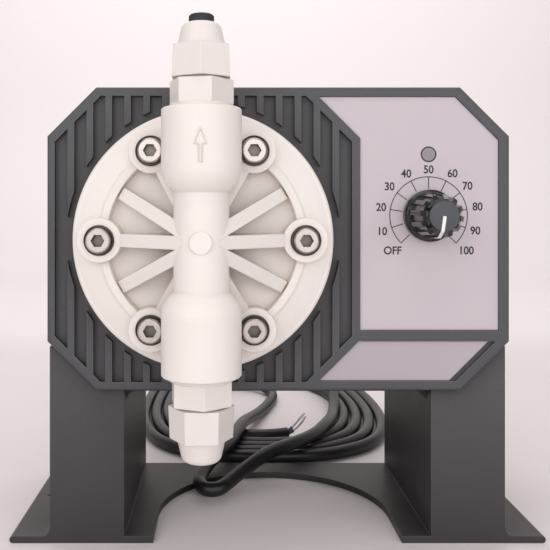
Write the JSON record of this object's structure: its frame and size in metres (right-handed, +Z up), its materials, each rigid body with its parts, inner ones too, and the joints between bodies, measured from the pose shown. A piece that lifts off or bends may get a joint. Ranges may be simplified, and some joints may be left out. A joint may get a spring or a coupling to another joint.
{
  "type": "chemical dosing pump",
  "caption": "Solenoid diaphragm dosing pump: eight-sided dark case on a moulded stand, white ribbed pump head with upright valves, dial knob and a loose mains lead.",
  "frame": {"origin": "on the floor, midway between the two mounting holes of the stand", "axes": "+X to the right along the front, +Y to the back, +Z up"},
  "size_m": [0.194, 0.3197, 0.1833],
  "materials": {
    "stand_plastic": "fine texture",
    "case_plastic": "fine texture",
    "head_plastic": "moulded",
    "stainless": "satin",
    "zinc_steel": "zinc plated",
    "die_cast": "as cast",
    "bronze": "machined",
    "copper": "enamelled",
    "label_film": "satin film",
    "lamp_lens": "translucent grey",
    "knob_plastic": "gloss",
    "pointer_white": "inlay",
    "black_rubber": "matt",
    "ceramic_ball": "polished ceramic",
    "board_laminate": "solder resist",
    "component_black": "moulded",
    "cord_jacket": "satin"
  },
  "bodies": {
    "pump": {"base_screws": "zinc_steel", "base_stand": "stand_plastic", "board_components": "component_black", "board_screws": "zinc_steel", "circuit_board": "board_laminate", "coil_bobbin": "component_black", "control_label": "label_film", "cord_conductors": "copper", "diaphragm": "black_rubber", "discharge_cage": "head_plastic", "discharge_clamp_ring": "head_plastic", "discharge_nut": "head_plastic", "discharge_o_ring": "black_rubber", "discharge_plug": "black_rubber", "discharge_seat": "black_rubber", "discharge_valve_body": "head_plastic", "front_bush": "bronze", "front_panel": "case_plastic", "head_adapter": "die_cast", "head_screws": "stainless", "head_washers": "stainless", "housing_gasket": "black_rubber", "housing_screws": "zinc_steel", "pole_piece": "zinc_steel", "potentiometer_body": "knob_plastic", "potentiometer_nut": "bronze", "power_cord": "cord_jacket", "power_cord_coil": "cord_jacket", "power_cord_tail": "cord_jacket", "pump_head": "head_plastic", "rating_label": "label_film", "rear_bush": "bronze", "rear_housing": "case_plastic", "return_spring": "stainless", "solenoid_can": "zinc_steel", "solenoid_front_yoke": "zinc_steel", "solenoid_rear_yoke": "zinc_steel", "solenoid_screws": "zinc_steel", "solenoid_winding": "copper", "strain_relief": "cord_jacket", "stroke_lamp": "lamp_lens", "suction_cage": "head_plastic", "suction_clamp_ring": "head_plastic", "suction_nut": "head_plastic", "suction_o_ring": "black_rubber", "suction_seat": "black_rubber", "suction_valve_body": "head_plastic"},
    "knob": {"control_knob": "knob_plastic", "knob_pointer": "pointer_white", "potentiometer_shaft": "bronze"},
    "drive": {"drive_shaft": "stainless", "armature": "zinc_steel", "diaphragm_disc": "stainless"},
    "discharge_check_ball": {"discharge_ball": "ceramic_ball"},
    "suction_check_ball": {"suction_ball": "ceramic_ball"}
  },
  "joints": [
    {"name": "knob_turn", "type": "hinge", "parent": "pump", "child": "knob", "pos_m": [0.0537, -0.0435, 0.11845], "axis": [0, 1, 0], "range_deg": [0, 300]},
    {"name": "solenoid_stroke", "type": "slide", "parent": "pump", "child": "drive", "axis": [0, -1, 0], "range_m": [0, 0.00125], "stiffness_N_per_m": 2000, "springref_m": -0.002, "deforming": ["return_spring", "diaphragm"]},
    {"name": "discharge_ball_lift", "type": "slide", "parent": "pump", "child": "discharge_check_ball", "axis": [0, 0, 1], "range_m": [0, 0.002]},
    {"name": "suction_ball_lift", "type": "slide", "parent": "pump", "child": "suction_check_ball", "axis": [0, 0, 1], "range_m": [0, 0.002]}
  ]
}
